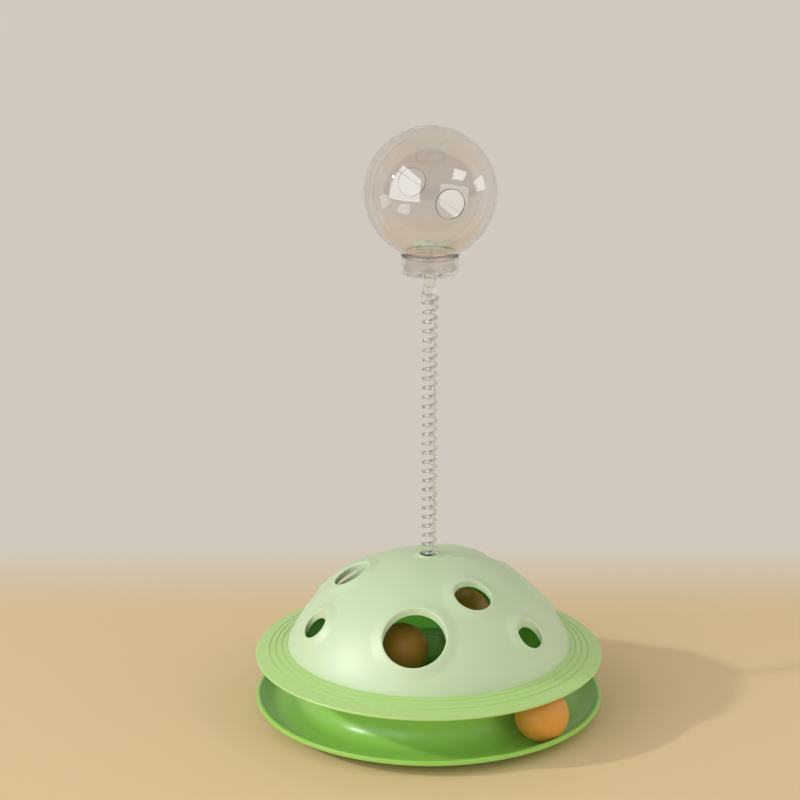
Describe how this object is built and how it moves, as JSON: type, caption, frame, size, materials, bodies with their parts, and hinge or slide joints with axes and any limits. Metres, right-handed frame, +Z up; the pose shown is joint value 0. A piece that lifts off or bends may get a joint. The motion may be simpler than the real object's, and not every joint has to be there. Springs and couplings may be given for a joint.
{
  "type": "treat dispenser toy",
  "caption": "Cat toy with rolling balls in an outer track and under a domed shell with paw holes, and a clear treat ball that sways on a coil spring.",
  "frame": {"origin": "on the table, at the axis of the round base", "axes": "+Z up along the axis of base, dome and spring at rest; -Y towards the viewer, the side with the large paw hole; +X to the viewer's right"},
  "size_m": [0.25, 0.25, 0.4235],
  "materials": {
    "green_plastic": "satin moulded green plastic",
    "mint_plastic": "satin moulded pale mint plastic",
    "orange_plastic": "satin orange-tan plastic",
    "clear_plastic": "clear, glossy, slightly grey plastic",
    "spring_plastic": "clear plastic wire",
    "foot_rubber": "matte dark rubber",
    "screw_steel": "zinc-plated steel"
  },
  "bodies": {
    "base": {"track_dish": "green_plastic", "deck": "green_plastic", "dome_shell": "mint_plastic", "spring_foot": "green_plastic", "rubber_foot_1": "foot_rubber", "rubber_foot_2": "foot_rubber", "rubber_foot_3": "foot_rubber", "rubber_foot_4": "foot_rubber", "deck_screw_1": "screw_steel", "deck_screw_2": "screw_steel", "deck_screw_3": "screw_steel", "deck_screw_4": "screw_steel", "dome_screw_1": "screw_steel", "dome_screw_2": "screw_steel", "dome_screw_3": "screw_steel", "foot_screw_1": "screw_steel", "foot_screw_2": "screw_steel"},
    "track_ball": {"track_ball": "orange_plastic"},
    "front_ball": {"chamber_ball_front": "orange_plastic"},
    "back_ball": {"chamber_ball_back": "orange_plastic"},
    "spring": {"wobble_spring": "spring_plastic"},
    "head": {"ball_cap": "clear_plastic"},
    "treat_ball": {"treat_ball": "clear_plastic"}
  },
  "joints": [
    {"name": "track_ball_orbit", "type": "hinge", "parent": "base", "child": "track_ball", "pos_m": [0, 0, 0], "axis": [0, 0, 1], "continuous": true},
    {"name": "front_ball_roam", "type": "hinge", "parent": "base", "child": "front_ball", "pos_m": [0, 0, 0], "axis": [0, 0, 1], "range_deg": [-68, 56]},
    {"name": "back_ball_roam", "type": "hinge", "parent": "base", "child": "back_ball", "pos_m": [0, 0, 0], "axis": [0, 0, 1], "range_deg": [-56, 68]},
    {"name": "sway_sideways", "type": "hinge", "parent": "base", "child": "spring", "pos_m": [0, 0, 0.161], "axis": [0, 1, 0], "range_deg": [-35, 35], "stiffness_Nm_per_rad": 0.6, "deforming": ["wobble_spring"]},
    {"name": "sway_fore_aft", "type": "hinge", "parent": "spring", "child": "head", "pos_m": [0, 0, 0.265], "axis": [1, 0, 0], "range_deg": [-35, 35], "stiffness_Nm_per_rad": 0.2, "deforming": ["wobble_spring"]},
    {"name": "treat_ball_twist", "type": "hinge", "parent": "head", "child": "treat_ball", "pos_m": [0, 0, 0.3334], "axis": [0, 0, 1], "range_deg": [0, 90]}
  ]
}
